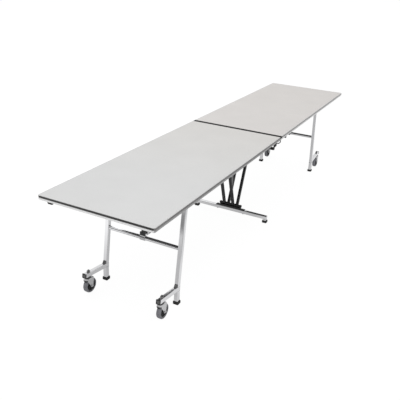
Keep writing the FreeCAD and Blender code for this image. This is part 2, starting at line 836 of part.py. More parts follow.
def fold_link():
    """Rectangular tube with slotted ends and a pin at each end."""
    half_height = link_height / 2
    bar = block((-leg_pivot_x, -link_half_width, link_z - half_height),
                (-hinge_axis_x, link_half_width, link_z + half_height))
    for x in (-leg_pivot_x, -hinge_axis_x):
        bar = bar.fuse(round_y(half_height, -link_half_width, link_half_width, x, link_z))
    bar = bar.removeSplitter()
    inner_height = half_height - link_wall
    hollow = block((-leg_pivot_x, -link_inner_half, link_z - inner_height),
                   (-hinge_axis_x, link_inner_half, link_z + inner_height))
    bar = bar.cut(hollow)
    slot_starts = (-leg_pivot_x - link_height, -hinge_axis_x - link_slot_reach)
    slot_length = link_height + link_slot_reach
    for x in slot_starts:
        low = (x, -link_inner_half, link_z - link_height)
        bar = bar.cut(block(low, (x + slot_length, link_inner_half, link_z + link_height)))
    pieces = []
    head_radius = link_pin_head_diameter / 2
    for x in (-leg_pivot_x, -hinge_axis_x):
        bar = bar.cut(round_y(link_pin_diameter / 2, -link_half_width, link_half_width, x, link_z))
        pieces.append(headed_pin(link_pin_diameter / 2, head_radius, link_pin_head_height,
                                 -link_half_width, link_half_width, x, link_z))
    return [bar] + pieces


# Centre base and rods

def base_tube():
    """Tube across the table with its ends turned down into the feet."""
    tube = square_tube(tube_size, tube_wall, -base_half_length, base_half_length, tube_corner)
    tube = moved(turned(tube, Vector(1, 0, 0), 90), 0, 0, base_tube_z)
    for side in (1, -1):
        end = side * base_half_length
        inside = side * (base_half_length - tube_wall)
        half = half_tube - tube_wall / 2
        low = (-half, min(end, inside), base_tube_z - half)
        tube = tube.fuse(block(low, (half, max(end, inside), base_tube_z + half)))
        stub = square_tube(tube_size, tube_wall, foot_cap_floor, base_tube_bottom, tube_corner)
        tube = tube.fuse(moved(stub, 0, side * base_foot_y, 0))
    for y in (base_bolt_position, -base_bolt_position):
        tube = tube.cut(round_z(base_bolt_diameter / 2, base_tube_bottom, base_tube_top, 0, y))
    return [tube.removeSplitter()]


def base_feet():
    return [foot_cap(0, y) for y in (base_foot_y, -base_foot_y)]


def base_bracket():
    """Channel on the base tube with upright ears and the pivot bar of the rods."""
    half_width_x = base_plate_width / 2
    low = (-half_width_x, -base_plate_half_length, base_tube_top)
    bracket = block(low, (half_width_x, base_plate_half_length, base_plate_top))
    half_flange = base_ear_positions[-1]
    flange_top = base_plate_top + base_flange_height
    for x in (-half_width_x, half_width_x - base_flange_thickness):
        flange_high = (x + base_flange_thickness, half_flange, flange_top)
        bracket = bracket.fuse(block((x, -half_flange, base_plate_top), flange_high))
    ear_half = base_ear_thickness / 2
    for place in base_ear_positions:
        for y in (place, -place):
            outline = [
                (-half_width_x, base_plate_top),
                (half_width_x, base_plate_top),
                (ear_radius, base_pivot_z),
                (-ear_radius, base_pivot_z),
            ]
            ear = plate_y(outline, y - ear_half, y + ear_half)
            ear = ear.fuse(round_y(ear_radius, y - ear_half, y + ear_half, 0, base_pivot_z))
            bracket = bracket.fuse(ear)
    for y in (base_bolt_position, -base_bolt_position):
        bracket = bracket.cut(round_z(base_bolt_diameter / 2, base_tube_top, base_plate_top, 0, y))
    bar_radius = base_bar_diameter / 2
    hole = round_y(bar_radius, -base_bar_half_length, base_bar_half_length, 0, base_pivot_z)
    bar = round_y(bar_radius, -base_bar_half_length, base_bar_half_length, 0, base_pivot_z)
    return [bracket.removeSplitter().cut(hole), bar] + base_sleeves()


def base_sleeves():
    """Spacer sleeves on the pivot bar, in every free stretch between ears and rods."""
    half_rod = rod_size / 2 + base_sleeve_gap
    half_ear = base_ear_thickness / 2
    stops = []
    for side in (1, -1):
        stops += [(side * y - half_rod, side * y + half_rod) for y in rod_near_places]
        stops += [(side * y - half_ear, side * y + half_ear) for y in base_ear_positions]
    sleeves = []
    start = -base_bar_half_length
    for stop_low, stop_high in sorted(stops):
        sleeves.append(base_sleeve(start, stop_low))
        start = stop_high
    return sleeves + [base_sleeve(start, base_bar_half_length)]


def base_sleeve(y_from, y_to):
    sleeve = round_y(base_sleeve_diameter / 2, y_from, y_to, 0, base_pivot_z)
    return sleeve.cut(round_y(base_bar_diameter / 2, y_from, y_to, 0, base_pivot_z))


def base_bolts():
    """Bolts that hold the bracket to the tube, with a nut under the tube."""
    pieces = []
    head_top = base_plate_top + base_bolt_head_height
    nut_low = base_tube_bottom - base_bolt_head_height
    for y in (base_bolt_position, -base_bolt_position):
        bolt = round_z(base_bolt_diameter / 2, nut_low, base_plate_top, 0, y)
        bolt = bolt.fuse(hexagon(base_bolt_head, base_plate_top, head_top, 0, y))
        bolt = bolt.fuse(hexagon(base_bolt_head, nut_low, base_tube_bottom, 0, y))
        pieces.append(bolt.removeSplitter())
    return pieces


def folding_rods():
    """Two square rods that lean from the base pivot to the near half top."""
    pieces = []
    for y in rod_near_places:
        rod = square_bar(rod_size, 0, rod_length, rod_corner)
        bore = square_bar(rod_size - 2 * rod_wall, rod_size, rod_length - rod_size, rod_corner / 2)
        rod = rod.cut(bore)
        half = rod_size / 2
        for z in (0, rod_length):
            rod = rod.fuse(round_y(half, -half, half, 0, z))
        stub_end = half + rod_stub_length
        rod = rod.fuse(round_y(pin_diameter / 2, -stub_end, stub_end, 0, rod_length))
        rod = rod.removeSplitter()
        rod = rod.cut(round_y(base_bar_diameter / 2 + running_clearance, -half, half, 0, 0))
        pieces.append(moved(turned(rod, Vector(0, 1, 0), -rod_angle), 0, y, base_pivot_z))
    return pieces


def near_nodes():
    """Pieces of the near half that have a twin in the far half."""
    return {
        "top_board": top_board(),
        "top_laminate": top_laminate(),
        "edge_band": edge_band(),
        "stiffener_rails": stiffener_rails(),
        "leg_brackets": leg_brackets(),
        "hinge_brackets": hinge_brackets(),
        "rod_brackets": rod_brackets(),
        "top_bumpers": top_bumpers(),
        "crossbar": crossbar(),
        "arms": arms(),
        "foot_caps": foot_caps(),
        "tube_plugs": tube_plugs(),
        "leg_bumpers": leg_bumpers(),
        "caster_stems": caster_stems(),
        "swivel_races": swivel_races(),
        "link_lug": link_lug(),
        "link": fold_link(),
        "rods": folding_rods(),
    }


def main():
    for name, solids in near_nodes().items():
        write_node("near_" + name, solids)
        write_node("far_" + name, far(solids))
    sides = {"left": ("right", leg_y), "right": ("left", -leg_y)}
    for side, (far_side, y) in sides.items():
        corner_nodes = {"leg": leg(y), "fork": caster_fork(y), "tread": wheel_tread(y), "hub": wheel_hub(y)}
        for name, solids in corner_nodes.items():
            write_node("near_" + side + "_" + name, solids)
            write_node("far_" + far_side + "_" + name, far(solids))
    write_node("hinge_spine", hinge_spine())
    write_node("release_lever", release_lever())
    write_node("pull_loop", pull_loop())
    write_node("centre_post", centre_post())
    write_node("base_tube", base_tube())
    write_node("base_feet", base_feet())
    write_node("base_bracket", base_bracket())
    write_node("base_bolts", base_bolts())


main()
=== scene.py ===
import json
import math

import bmesh
import bpy
from mathutils import Matrix, Vector

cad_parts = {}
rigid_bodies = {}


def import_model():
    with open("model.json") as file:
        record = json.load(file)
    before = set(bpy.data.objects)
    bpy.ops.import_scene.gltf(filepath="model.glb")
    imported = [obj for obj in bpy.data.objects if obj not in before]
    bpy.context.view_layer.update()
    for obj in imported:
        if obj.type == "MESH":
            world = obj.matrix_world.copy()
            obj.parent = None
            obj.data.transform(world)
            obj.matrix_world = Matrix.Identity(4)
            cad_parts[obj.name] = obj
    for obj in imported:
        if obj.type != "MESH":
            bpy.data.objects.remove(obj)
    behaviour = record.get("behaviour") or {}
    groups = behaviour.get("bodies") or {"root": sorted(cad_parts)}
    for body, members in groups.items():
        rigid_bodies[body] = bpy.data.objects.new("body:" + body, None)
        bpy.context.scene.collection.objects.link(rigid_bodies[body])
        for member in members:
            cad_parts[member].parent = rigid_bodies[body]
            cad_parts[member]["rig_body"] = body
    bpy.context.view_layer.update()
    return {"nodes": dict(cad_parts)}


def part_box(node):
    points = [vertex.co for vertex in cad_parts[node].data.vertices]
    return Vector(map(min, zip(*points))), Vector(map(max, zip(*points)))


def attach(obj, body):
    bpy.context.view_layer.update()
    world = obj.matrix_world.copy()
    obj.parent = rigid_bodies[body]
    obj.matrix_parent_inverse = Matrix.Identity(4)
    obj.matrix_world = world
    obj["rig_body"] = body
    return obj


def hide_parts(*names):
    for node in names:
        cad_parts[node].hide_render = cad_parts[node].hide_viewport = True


bl_info = {
    "name": "Folding Table Finisher",
    "version": (1, 0, 0),
    "blender": (4, 5, 0),
    "location": "View3D > Sidebar > Folding Table",
    "description": "Finishes the packed folding table and sets up its studio",
    "category": "Object",
}

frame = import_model()

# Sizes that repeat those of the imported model, in metres
LEAN = math.radians(7.0)
FOOT_X = -sum(corner.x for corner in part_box("near_foot_caps")) / 2
ARM_HEIGHT = 0.111
ARM_OUTER_REACH = 0.221
TUBE_HALF = 0.014
LEG_Y = 0.270
LEG_PIVOT_X = 1.306
CROSSBAR_HEIGHT = 0.374
CROSSBAR_RADIUS = 0.0135
TABLE_TOP = 0.749
UNDERSIDE = 0.722
BAND_WIDTH = 0.006
SEAM_BAND_WIDTH = 0.0045
BAND_CORNER = 0.015
HINGE_X = 0.070
ROD_TOP_X = 0.222
CAP_HALF = 0.019
HALVES = ("near", "far")

# Looks. Painted light on the moulding: along the long sides the strip is painted paler (painted
# reflection) and the lip darker (painted shade).
SHARP = math.radians(38.0)
# Width of the painted seam shade: laminate and moulding are painted near black along the gap
# between the halves.
SEAM_SHADE_WIDTH = 0.019
SEAM_TINTS = {"near": (1.010, 0.985, 0.955, 1.0), "far": (0.985, 0.990, 1.000, 1.0)}
# Painted reflection: factors by which the strip is painted paler along the long sides.
STRIP_SIDE_SHEEN = {"near": 6.5, "far": 9.0}
# Painted shade: factors by which the lip is painted darker along the long sides.
LIP_SIDE_SHADE = {"near": 0.42, "far": 0.85}
# Distance from the middle, in metres, over which the painted side light comes in.
SIDE_LIGHT_RANGE = (0.372, 0.378)
SCREW_SEED = 7
BEAD_SEED = 3

# Camera: place in metres, then bearing, dip and roll in degrees
CAMERA_PLACE = (-3.8836, -1.6549, 1.9966)
CAMERA_TURN = (26.620, 24.132, -2.727)


def new_object(name, data):
    """Object in the scene, made of some data."""
    item = bpy.data.objects.new(name, data)
    bpy.context.scene.collection.objects.link(item)
    return item


def plain_mesh(points, edges=(), faces=()):
    mesh = bpy.data.meshes.new("part")
    mesh.from_pydata(points, edges, faces)
    return mesh


# Shader and Geometry Nodes trees

def math_node(operation, swapped=False):
    """Method that joins a value and another, or a number, in a Math node."""

    def joined(value, other=0.0):
        pair = (other, value) if swapped else (value, other)
        inputs = dict(enumerate(pair))
        return value.network.node("ShaderNodeMath", {"operation": operation}, inputs)

    return joined


class Value:
    """A number in a node tree. Sums written with it become Math nodes."""

    def __init__(self, network, socket):
        self.network = network
        self.socket = socket

    __add__ = __radd__ = math_node("ADD")
    __sub__ = math_node("SUBTRACT")
    __rsub__ = math_node("SUBTRACT", swapped=True)
    __mul__ = __rmul__ = math_node("MULTIPLY")
    __truediv__ = math_node("DIVIDE")
    __gt__ = math_node("GREATER_THAN")
    __lt__ = math_node("LESS_THAN")
    __abs__ = math_node("ABSOLUTE")
    most = math_node("MAXIMUM")


class Network:
    """A node tree with one way to add a node."""

    def __init__(self, tree):
        self.tree = tree

    def feed(self, socket, value):
        if isinstance(value, Value):
            self.tree.links.new(value.socket, socket)
        else:
            socket.default_value = value

    def node(self, kind, settings=None, inputs=None, output=0):
        node = self.tree.nodes.new(kind)
        for name, value in (settings or {}).items():
            setattr(node, name, value)
        for name, value in (inputs or {}).items():
            self.feed(node.inputs[name], value)
        return Value(self, node.outputs[output])


class Finish(Network):
    """A material whose patterns lie in the table's own frame."""

    def __init__(self, name, metallic=0.0):
        self.material = bpy.data.materials.new(name)
        self.material.use_nodes = True
        super().__init__(self.material.node_tree)
        self.shader = self.tree.nodes["Principled BSDF"]
        self.place = self.node("ShaderNodeTexCoord", output="Object")
        self.set("Metallic", metallic)

    def set(self, name, value):
        self.feed(self.shader.inputs[name], value)

    def axis(self, name):
        """One coordinate of the place, in metres."""
        return self.node("ShaderNodeSeparateXYZ", inputs={0: self.place}, output=name)

    def noise(self, scale, detail=2.0, stretch=(1.0, 1.0, 1.0)):
        """Soft random pattern between 0 and 1."""
        place = self.node("ShaderNodeMapping", inputs={"Vector": self.place, "Scale": stretch})
        inputs = {"Vector": place, "Scale": scale, "Detail": detail}
        return self.node("ShaderNodeTexNoise", inputs=inputs, output="Fac")

    def cells(self, scale):
        """Cells of random shape, each with its own level."""
        inputs = {"Vector": self.place, "Scale": scale}
        colour = self.node("ShaderNodeTexVoronoi", inputs=inputs, output="Color")
        return self.node("ShaderNodeSeparateColor", inputs={0: colour})

    def between(self, value, low, high):
        """Value spread to 0 at low and 1 at high, and held there."""
        inputs = {"Value": value, "From Min": low, "From Max": high}
        return self.node("ShaderNodeMapRange", {"clamp": True}, inputs)

    def at_side(self):
        """1 on the moulding along the long sides, where painted light is put on it."""
        return self.between(abs(self.axis("Y")), *SIDE_LIGHT_RANGE)

    def worn(self, colour):
        """Coat with pale worn spots."""
        return self.shades(self.between(self.noise(22.0, 6.0), 0.62, 0.8), colour, 1.0, 2.2)

    def blend(self, mask, first, second, way="MIX"):
        """Colour that goes from the first to the second as the mask goes from 0 to 1."""
        settings = {"data_type": "RGBA", "blend_type": way}
        return self.node("ShaderNodeMix", settings, {0: mask, 6: first, 7: second}, output=2)

    def shades(self, mask, colour, first, second):
        """Blend of one colour at two strengths."""
        return self.blend(mask, shaded(colour, first), shaded(colour, second))

    def overlay(self, mask, second):
        """Mix in a second shader where the mask says."""
        first = Value(self, self.shader.outputs[0])
        mixed = self.node("ShaderNodeMixShader", inputs={0: mask, 1: first, 2: second})
        self.feed(self.tree.nodes["Material Output"].inputs["Surface"], mixed)

    def done(self, colour, roughness, height, depth):
        """Set colour and roughness, add relief of a depth in metres and give the material."""
        self.set("Base Color", colour)
        self.set("Roughness", roughness)
        inputs = {"Height": height, "Distance": depth, "Strength": 1.0}
        self.set("Normal", self.node("ShaderNodeBump", inputs=inputs))
        return self.material


class Grower(Network):
    """A Geometry Nodes tree with named inputs."""

    def __init__(self, name, **sockets):
        super().__init__(bpy.data.node_groups.new(name, "GeometryNodeTree"))
        self.tree.is_modifier = True
        face = self.tree.interface
        for label, kind in {"Geometry": "Geometry", **sockets, "Material": "Material"}.items():
            label = label.replace("_", " ")
            face.new_socket(label, in_out="INPUT", socket_type="NodeSocket" + kind)
        face.new_socket("Geometry", in_out="OUTPUT", socket_type="NodeSocketGeometry")
        self.start = self.tree.nodes.new("NodeGroupInput")
        self.end = self.tree.nodes.new("NodeGroupOutput")

    def __getitem__(self, label):
        return Value(self, self.start.outputs[label])

    def copied(self, label):
        """Shape of the object given under a label."""
        inputs = {"Object": self[label]}
        return self.node("GeometryNodeObjectInfo", inputs=inputs, output="Geometry")

    def close(self, geometry):
        """Realise what was instanced, set its material and end the tree."""
        real = self.node("GeometryNodeRealizeInstances", inputs={0: geometry})
        inputs = {"Geometry": real, "Material": self["Material"]}
        self.feed(self.end.inputs[0], self.node("GeometryNodeSetMaterial", inputs=inputs))

    def plant(self, **inputs):
        """Put an instance on every point and end the tree."""
        self.close(self.node("GeometryNodeInstanceOnPoints", inputs=inputs))

    def on(self, host, **values):
        """Run the tree on a mesh and give the result as a plain mesh."""
        holder = new_object("host", host)
        modifier = holder.modifiers.new(self.tree.name, "NODES")
        modifier.node_group = self.tree
        for item in self.tree.interface.items_tree:
            name = item.name.replace(" ", "_")
            if item.in_out == "INPUT" and name in values:
                modifier[item.identifier] = values[name]
        graph = bpy.context.evaluated_depsgraph_get()
        mesh = bpy.data.meshes.new_from_object(holder.evaluated_get(graph))
        bpy.data.objects.remove(holder)
        bpy.data.meshes.remove(host)
        return mesh


# Colours

def grey(level):
    return (level, level, level, 1.0)


def shaded(colour, factor):
    return tuple(channel * factor for channel in colour[:3]) + (1.0,)


# Finishes

def laminate_finish(name, colour, seam_tint):
    """Speckled laminate, tinted towards the seam, with a dark strip along it as painted shade of
    the seam gap.
    """
    finish = Finish(name)
    speckle = finish.noise(1400.0, 3.0)
    mottle = finish.between(speckle * 0.6 + finish.noise(5.0) * 0.4, 0.35, 0.65)
    plain = finish.shades(mottle, colour, 0.965, 1.03)
    from_seam = abs(finish.axis("X"))
    tinted = finish.blend(1.0, plain, seam_tint, "MULTIPLY")
    face = finish.blend(finish.between(from_seam, 1.3, 0.0), plain, tinted)
    # Painted shade: a near-black matt band along the seam stands in for the shadow in the gap.
    inputs = {"Base Color": grey(0.012), "Roughness": 0.7, "Specular IOR Level": 0.1}
    strip = finish.node("ShaderNodeBsdfPrincipled", inputs=inputs)
    finish.overlay(from_seam < SEAM_SHADE_WIDTH, strip)
    return finish.done(face, 0.36 + 0.12 * finish.noise(60.0, 3.0), speckle, 0.00006)


def board_finish(name):
    """Dark backing sheet below, bare board at the edges."""
    finish = Finish(name)
    raw = finish.blend(finish.cells(260.0), (0.30, 0.20, 0.12, 1.0), (0.46, 0.34, 0.22, 1.0))
    sheet = finish.blend(finish.noise(40.0, 4.0), grey(0.030), grey(0.048))
    colour = finish.blend(finish.axis("Z") < UNDERSIDE + 0.0006, raw, sheet)
    roughness = 0.5 + 0.2 * finish.noise(30.0)
    return finish.done(colour, roughness, finish.noise(900.0, 3.0), 0.0001)


def moulded_finish(name, colour, roughness):
    """Moulded plastic with a fine pebble and slight handling marks."""
    finish = Finish(name)
    rubs = finish.between(finish.noise(14.0, 4.0), 0.45, 0.75)
    marked = finish.shades(rubs, colour, 1.0, 1.22)
    roughness = (roughness - 0.05) + 0.14 * finish.noise(45.0, 3.0)
    return finish.done(marked, roughness, finish.noise(1500.0), 0.00006)


def strip_finish(name, colour, side_light):
    """Dark plastic strip, painted paler along the long sides as a painted reflection, with a
    painted highlight on top and painted shade in matt black at the seam.
    """
    finish = Finish(name)
    at_seam = abs(finish.axis("X")) < SEAM_SHADE_WIDTH
    highlight_top = (1 - at_seam) * (finish.axis("Z") > TABLE_TOP - 0.0005)
    rubs = finish.between(finish.noise(14.0, 4.0), 0.35, 0.75)
    # Painted reflection: a paler colour for the long sides.
    sheen_colour = finish.shades(rubs, colour, side_light, side_light * 1.35)
    sides = finish.blend(finish.at_side(), finish.shades(rubs, colour, 1.0, 1.2), sheen_colour)
    # Painted highlight: the top face is pale grey.
    outside = finish.blend(highlight_top, sides, grey(0.62))
    # Painted shade at the seam: near black and matt.
    roughness = 0.36 + 0.14 * finish.noise(45.0, 3.0) + 0.4 * at_seam
    return finish.done(finish.blend(at_seam, outside, grey(0.008)), roughness,
                       finish.noise(1500.0), 0.00005)


def lip_finish(name, colour, side_light):
    """Pale satin plastic with fine lines along it; its near white is partly a painted highlight,
    and it is painted darker along the long sides as painted shade.
    """
    finish = Finish(name)
    lines = finish.noise(90.0, 4.0, (1.0, 1.0, 14.0))
    # Painted shade: a darker colour for the long sides.
    shade_colour = finish.shades(lines, colour, side_light * 0.95, side_light)
    face = finish.blend(finish.at_side(), finish.shades(lines, colour, 0.95, 1.0), shade_colour)
    return finish.done(face, 0.26 + 0.1 * lines, lines, 0.00002)


def chrome_finish(name, colour):
    """Bright plate with faint smudges and a slow waver from the drawn tube."""
    finish = Finish(name, metallic=1.0)
    smudge = finish.between(finish.noise(9.0, 4.0), 0.5, 0.8)
    plate = finish.shades(smudge, colour, 1.0, 0.94)
    return finish.done(plate, 0.05 + 0.10 * smudge, finish.noise(26.0), 0.00012)


def zinc_finish(name, colour, roughness=0.3):
    """Zinc plate with soft spangle."""
    finish = Finish(name, metallic=1.0)
    plate = finish.shades(finish.cells(170.0), colour, 0.9, 1.0)
    roughness = (roughness - 0.06) + 0.14 * finish.noise(120.0, 3.0)
    return finish.done(plate, roughness, finish.noise(700.0, 3.0), 0.00004)


def steel_finish(name, colour):
    """Plain drawn steel with upright draw lines."""
    finish = Finish(name, metallic=0.9)
    lines = finish.noise(420.0, 4.0, (1.0, 1.0, 0.02))
    return finish.done(finish.shades(lines, colour, 0.82, 1.1), 0.28 + 0.2 * lines, lines, 0.00005)


def powder_finish(name, colour):
    """Powder coat with orange peel and a little wear."""
    finish = Finish(name)
    roughness = 0.32 + 0.16 * finish.noise(80.0, 3.0)
    return finish.done(finish.worn(colour), roughness, finish.noise(650.0), 0.00012)


def rubber_finish(name, colour, dust=0.5):
    """Matt rubber with dust in its pores."""
    finish = Finish(name)
    dusty = finish.between(finish.noise(35.0, 5.0), 0.45, 0.8) * dust
    roughness = 0.62 + 0.22 * finish.noise(90.0, 3.0)
    return finish.done(finish.shades(dusty, colour, 1.0, 2.4), roughness,
                       finish.noise(1100.0, 3.0), 0.00012)


def tread_finish(name, colour):
    """Grey tyre, scuffed where it runs."""
    finish = Finish(name)
    scuffs = finish.between(finish.noise(60.0, 6.0, (1.0, 0.25, 1.0)), 0.4, 0.75)
    return finish.done(finish.shades(scuffs, colour, 0.88, 1.15), 0.5 + 0.25 * scuffs,
                       finish.noise(800.0, 3.0), 0.0001)


def link_finish(name, colour, fitting):
    """Powder-coated link with plated end fittings."""
    finish = Finish(name)
    at_fitting = abs(finish.axis("X")) > LEG_PIVOT_X - 0.021
    finish.set("Metallic", at_fitting)
    roughness = 0.32 + 0.12 * finish.noise(80.0, 3.0)
    return finish.done(finish.blend(at_fitting, finish.worn(colour), fitting), roughness,
                       finish.noise(650.0), 0.0001)


def lug_finish(name, colour, cap):
    """Plated lug whose clamp has a black cap."""
    finish = Finish(name)
    at_cap = finish.axis("Z") > CROSSBAR_HEIGHT + 0.0185
    finish.set("Metallic", 1 - at_cap)
    patch = finish.noise(150.0, 3.0)
    face = finish.blend(at_cap, finish.shades(patch, colour, 0.88, 1.0), cap)
    return finish.done(face, 0.26 + 0.16 * patch, finish.noise(700.0, 3.0), 0.00004)


# Mesh building

def box_of(vertices):
    """Lowest and highest corner of some vertices."""
    axes = list(zip(*(vertex.co for vertex in vertices)))
    return Vector([min(axis) for axis in axes]), Vector([max(axis) for axis in axes])


def islands(work):
    """Groups of faces that hang together."""
    left = set(work.faces)
    groups = []
    for start in work.faces:
        if start not in left:
            continue
        left.remove(start)
        group = [start]
        for face in group:
            for edge in face.edges:
                found = [other for other in edge.link_faces if other in left]
                left.difference_update(found)
                group += found
        groups.append(group)
    return groups


def soften(work, faces, width):
    """Small bevel on the hard edges of one solid."""
    edges = dict.fromkeys(edge for face in faces for edge in face.edges)
    hard = [edge for edge in edges
            if len(edge.link_faces) == 2 and edge.calc_face_angle(0.0) > SHARP]
    if hard:
        bmesh.ops.bevel(work, geom=hard, offset=width, segments=2, profile=0.5,
                        affect="EDGES", clamp_overlap=True, material=-1)


def add_piece(name, mesh, body, stands_for=(), finish=None):
    """Put a finished mesh on a body, in the place of the named CAD nodes."""
    if finish:
        mesh.materials.clear()
        mesh.materials.append(finish)
    piece = new_object(name, mesh)
    mesh.shade_smooth()
    mesh.set_sharp_from_angle(angle=SHARP)
    weighted = piece.modifiers.new("flats", "WEIGHTED_NORMAL")
    weighted.keep_sharp = True
    graph = bpy.context.evaluated_depsgraph_get()
    settled = bpy.data.meshes.new_from_object(piece.evaluated_get(graph))
    piece.modifiers.clear()
    piece.data = settled
    bpy.data.meshes.remove(mesh)
    settled.name = name
    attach(piece, body)
    if stands_for:
        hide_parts(*stands_for)
    return piece


def mesh_from(work):
    """Mesh of a bmesh, its normals facing out."""
    mesh = bpy.data.meshes.new("part")
    bmesh.ops.recalc_face_normals(work, faces=work.faces)
    work.to_mesh(mesh)
    work.free()
    return mesh


def finish_node(node, *finishes, bevel=0.0005, choose=None):
    """Softened, smoothly shaded copy of a CAD node that takes its place.

    The choice gives the number of the finish for a solid from its corners.
    """
    work = bmesh.new()
    work.from_mesh(frame["nodes"][node].data)
    bmesh.ops.remove_doubles(work, verts=work.verts, dist=0.000002)
    bmesh.ops.dissolve_limit(work, angle_limit=0.01, verts=work.verts, edges=work.edges)
    solids = islands(work)
    for faces in solids:
        number = choose(*box_of({vert for face in faces for vert in face.verts})) if choose else 0
        for face in faces:
            face.material_index = number
    for faces in solids:
        soften(work, faces, bevel)
    mesh = bpy.data.meshes.new(node + "_mesh")
    work.to_mesh(mesh)
    work.free()
    for finish in finishes:
        mesh.materials.append(finish)
    body = frame["nodes"][node]["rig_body"]
    return add_piece(node + "_finished", mesh, body, (node,))


def coat_node(node, finish):
    """Give a CAD node whose shape stays its material."""
    slots = frame["nodes"][node].data.materials
    slots.clear()
    slots.append(finish)


def bridge(work, lower, upper):
    """Faces between two rings of as many vertices."""
    for step in range(len(lower)):
        beyond = (step + 1) % len(lower)
        work.faces.new((lower[step], lower[beyond], upper[beyond], upper[step]))


def round_ring(radius, z, segments):
    """Loop of points round Z."""
    angles = [math.tau * step / segments for step in range(segments)]
    return [Vector((radius * math.cos(angle), radius * math.sin(angle), z)) for angle in angles]


def lathe(work, profile, segments, place):
    """Turn a closed profile of (radius, height) points about Z, then place it."""
    rings = [[work.verts.new(place @ point) for point in round_ring(radius, height, segments)]
             for radius, height in profile]
    for ring, following in zip(rings, rings[1:] + rings[:1]):
        bridge(work, ring, following)


def square_ring(half, corner, z, steps=4):
    """Loop of points round a square with rounded corners."""
    points = []
    for quarter in range(4):
        middle = math.radians(45 + 90 * quarter)
        centre_x = math.copysign(half - corner, math.cos(middle))
        centre_y = math.copysign(half - corner, math.sin(middle))
        for step in range(steps + 1):
            angle = math.radians(90 * quarter + 90 * step / steps)
            x = centre_x + corner * math.cos(angle)
            y = centre_y + corner * math.sin(angle)
            points.append(Vector((x, y, z)))
    return points


def loft(work, loops, place):
    """Skin a stack of loops and close both its ends."""
    rings = [[work.verts.new(place @ point) for point in loop] for loop in loops]
    for lower, upper in zip(rings, rings[1:]):
        bridge(work, lower, upper)
    work.faces.new(rings[0][::-1])
    work.faces.new(rings[-1])


def path_mesh(loops, closed):
    """Edges through loops of points, without faces."""
    points = []
    edges = []
    for loop in loops:
        first = len(points)
        points += loop
        edges += [(first + step, first + step + 1) for step in range(len(loop) - 1)]
        if closed:
            edges.append((first + len(loop) - 1, first))
    return plain_mesh(points, edges)


def half_turn(half):
    """The far half is the near half, turned half a turn about the vertical."""
    return Matrix.Rotation(math.pi if half == "far" else 0.0, 4, "Z")


def lean_place(half):
    """Frame with its origin where leg meets arm, Z up the leg and X along the arm."""
    near = Matrix.Translation((-FOOT_X, 0.0, ARM_HEIGHT)) @ Matrix.Rotation(LEAN, 4, "Y")
    return half_turn(half) @ near


# Geometry Nodes trees

def moulding_tree():
    """Sweep a strip with two rounded outer corners along a path."""
    grower = Grower("moulding", Outer_Low="Vector", Outer_High="Vector", Inner_High="Vector",
                    Inner_Low="Vector", Round_Low="Float", Round_High="Float",
                    Plan_Corner="Float")
    path = grower.node("GeometryNodeMeshToCurve", inputs={0: grower["Geometry"]})
    path = grower.node("GeometryNodeFilletCurve", {"mode": "POLY"},
                       {"Curve": path, "Count": 8, "Radius": grower["Plan Corner"]})
    path = grower.node("GeometryNodeSetCurveNormal", {"mode": "Z_UP"}, {0: path})
    corners = {"Point 1": grower["Outer Low"], "Point 2": grower["Outer High"],
               "Point 3": grower["Inner High"], "Point 4": grower["Inner Low"]}
    strip = grower.node("GeometryNodeCurvePrimitiveQuadrilateral", {"mode": "POINTS"}, corners)
    index = grower.node("GeometryNodeInputIndex")
    radius = 0.0002
    for number, label in ((1, "Round High"), (0, "Round Low")):
        at_corner = grower.node("FunctionNodeCompare", {"data_type": "INT", "operation": "EQUAL"},
                                {2: index, 3: number})
        radius = grower.node("GeometryNodeSwitch", {"input_type": "FLOAT"},
                             {0: at_corner, 1: radius, 2: grower[label]})
    strip = grower.node("GeometryNodeFilletCurve", {"mode": "POLY"},
                        {"Curve": strip, "Count": 5, "Radius": radius})
    inputs = {"Curve": path, "Profile Curve": strip, "Fill Caps": True}
    grower.close(grower.node("GeometryNodeCurveToMesh", inputs=inputs))
    return grower


def scatter_tree():
    """Put a small object on every point, each with its own turn about Z."""
    grower = Grower("scatter", Small_Object="Object", Seed="Int")
    turn = grower.node("FunctionNodeRandomValue", {"data_type": "FLOAT_VECTOR"},
                       {0: (0.0, 0.0, 0.0), 1: (0.0, 0.0, math.tau), "Seed": grower["Seed"]})
    grower.plant(Points=grower["Geometry"], Instance=grower.copied("Small Object"), Rotation=turn)
    return grower


def bead_tree():
    """Row of overlapping weld ripples along a path."""
    grower = Grower("weld_beads", Step="Float", Bead_Radius="Float", Seed="Int")
    path = grower.node("GeometryNodeMeshToCurve", inputs={0: grower["Geometry"]})
    path = grower.node("GeometryNodeResampleCurve", {"mode": "LENGTH"},
                       {"Curve": path, "Length": grower["Step"]})
    ripple = grower.node("GeometryNodeMeshIcoSphere",
                         inputs={"Radius": grower["Bead Radius"], "Subdivisions": 2})
    tangent = grower.node("GeometryNodeInputTangent")
    turn = grower.node("FunctionNodeAlignRotationToVector", {"axis": "Z"}, {"Vector": tangent})
    size = grower.node("FunctionNodeRandomValue", {"data_type": "FLOAT_VECTOR"},
                       {0: (0.85, 0.85, 0.6), 1: (1.1, 1.1, 0.75), "Seed": grower["Seed"]})
    grower.plant(Points=path, Instance=ripple, Rotation=turn, Scale=size)
    return grower


def spoke_tree():
    """Put a rib at even steps round a circle in the XY plane."""
    grower = Grower("spokes", Rib="Object", Count="Int", Radius="Float")
    circle = grower.node("GeometryNodeMeshCircle",
                         inputs={"Vertices": grower["Count"], "Radius": grower["Radius"]})
    index = grower.node("GeometryNodeInputIndex")
    turn = grower.node("ShaderNodeCombineXYZ",
                       inputs={"Z": index / grower["Count"] * math.tau})
    grower.plant(Points=circle, Instance=grower.copied("Rib"), Rotation=turn)
    return grower


